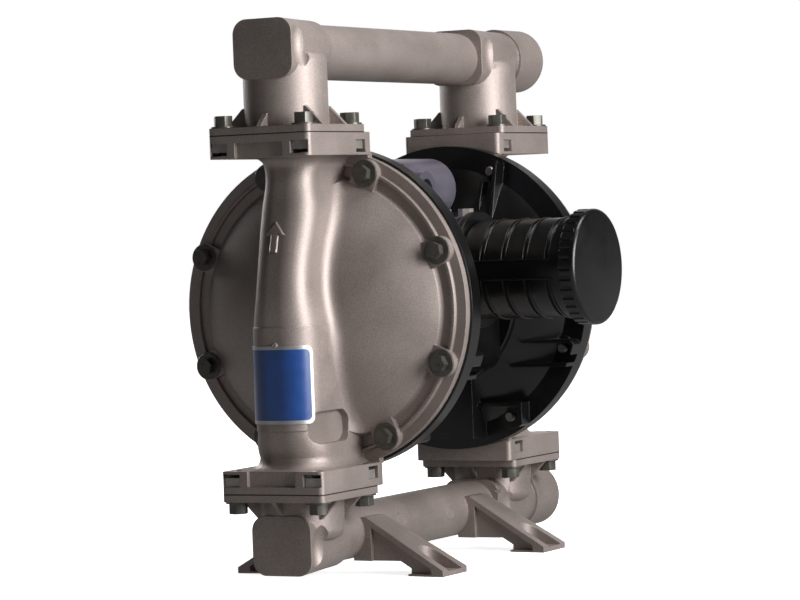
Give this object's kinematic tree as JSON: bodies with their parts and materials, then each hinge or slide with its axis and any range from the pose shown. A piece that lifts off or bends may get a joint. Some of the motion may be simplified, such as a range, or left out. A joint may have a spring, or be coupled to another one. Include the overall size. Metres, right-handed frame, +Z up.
{
  "type": "air-operated double diaphragm pump",
  "caption": "Bolted metal double diaphragm pump with dished fluid covers, flow columns, top and bottom manifolds on feet, an air valve and a slotted muffler.",
  "frame": {"origin": "middle of the foot bolt pattern on the surface that the pump stands on", "axes": "+X along the manifolds from the blank ends to the ports, -Y the muffler side, +Z up"},
  "size_m": [0.4126, 0.2889, 0.4064],
  "materials": {
    "cast_metal": "fine blasted casting, satin warm grey",
    "black_plastic": "glass filled moulding, satin",
    "black_oxide": "black oxide",
    "valve_casting": "die cast, satin grey",
    "bright_steel": "machined",
    "zinc_steel": "zinc plated",
    "black_rubber": "moulded",
    "white_ptfe": "machined",
    "grey_gasket": "sheet",
    "blue_plate": "gloss blue with a bare silver border"
  },
  "bodies": {
    "pump": {"right_fluid_cover": "cast_metal", "left_fluid_cover": "cast_metal", "outlet_manifold": "cast_metal", "inlet_manifold": "cast_metal", "right_air_cover": "black_plastic", "left_air_cover": "black_plastic", "centre_housing": "black_plastic", "valve_gasket": "grey_gasket", "air_valve_housing": "valve_casting", "right_valve_end_cap": "black_plastic", "left_valve_end_cap": "black_plastic", "valve_bolts": "zinc_steel", "muffler_gasket": "grey_gasket", "muffler_plate": "black_plastic", "muffler_body": "black_plastic", "muffler_cap": "black_plastic", "right_diaphragm": "black_rubber", "left_diaphragm": "black_rubber", "right_shaft_bearing": "white_ptfe", "left_shaft_bearing": "white_ptfe", "right_shaft_seal": "black_rubber", "left_shaft_seal": "black_rubber", "right_inlet_seat": "bright_steel", "left_inlet_seat": "bright_steel", "right_outlet_seat": "bright_steel", "left_outlet_seat": "bright_steel", "inlet_seat_seals": "white_ptfe", "outlet_seat_seals": "white_ptfe", "left_cover_bolts": "black_oxide", "left_cover_washers": "black_oxide", "right_cover_bolts": "black_oxide", "right_cover_washers": "black_oxide", "outlet_manifold_bolts": "black_oxide", "outlet_manifold_washers": "black_oxide", "outlet_manifold_nuts": "black_oxide", "inlet_manifold_bolts": "black_oxide", "inlet_manifold_washers": "black_oxide", "inlet_manifold_nuts": "black_oxide", "rating_plate": "blue_plate"},
    "shaft_assembly": {"diaphragm_shaft": "bright_steel", "right_air_plate": "bright_steel", "left_air_plate": "bright_steel", "right_fluid_plate": "bright_steel", "left_fluid_plate": "bright_steel", "right_shaft_bolt": "bright_steel", "left_shaft_bolt": "bright_steel"},
    "right_inlet_ball_check": {"right_inlet_ball": "white_ptfe"},
    "left_inlet_ball_check": {"left_inlet_ball": "white_ptfe"},
    "right_outlet_ball_check": {"right_outlet_ball": "white_ptfe"},
    "left_outlet_ball_check": {"left_outlet_ball": "white_ptfe"},
    "spool": {"valve_spool": "bright_steel"},
    "right_pin": {"right_pilot_pin": "bright_steel"},
    "left_pin": {"left_pilot_pin": "bright_steel"}
  },
  "joints": [
    {"name": "shaft_slide", "type": "slide", "parent": "pump", "child": "shaft_assembly", "axis": [1, 0, 0], "range_m": [-0.01, 0.01], "deforming": ["left_diaphragm", "right_diaphragm"]},
    {"name": "right_inlet_ball_lift", "type": "slide", "parent": "pump", "child": "right_inlet_ball_check", "axis": [0, 0, 1], "range_m": [0, 0.008]},
    {"name": "right_outlet_ball_lift", "type": "slide", "parent": "pump", "child": "right_outlet_ball_check", "axis": [0, 0, 1], "range_m": [0, 0.008]},
    {"name": "left_inlet_ball_lift", "type": "slide", "parent": "pump", "child": "left_inlet_ball_check", "axis": [0, 0, 1], "range_m": [0, 0.008]},
    {"name": "left_outlet_ball_lift", "type": "slide", "parent": "pump", "child": "left_outlet_ball_check", "axis": [0, 0, 1], "range_m": [0, 0.008]},
    {"name": "spool_slide", "type": "slide", "parent": "pump", "child": "spool", "axis": [1, 0, 0], "range_m": [-0.008, 0.008]},
    {"name": "right_pin_slide", "type": "slide", "parent": "pump", "child": "right_pin", "axis": [1, 0, 0], "range_m": [0, 0.0025]},
    {"name": "left_pin_slide", "type": "slide", "parent": "pump", "child": "left_pin", "axis": [-1, 0, 0], "range_m": [0, 0.0025]}
  ]
}
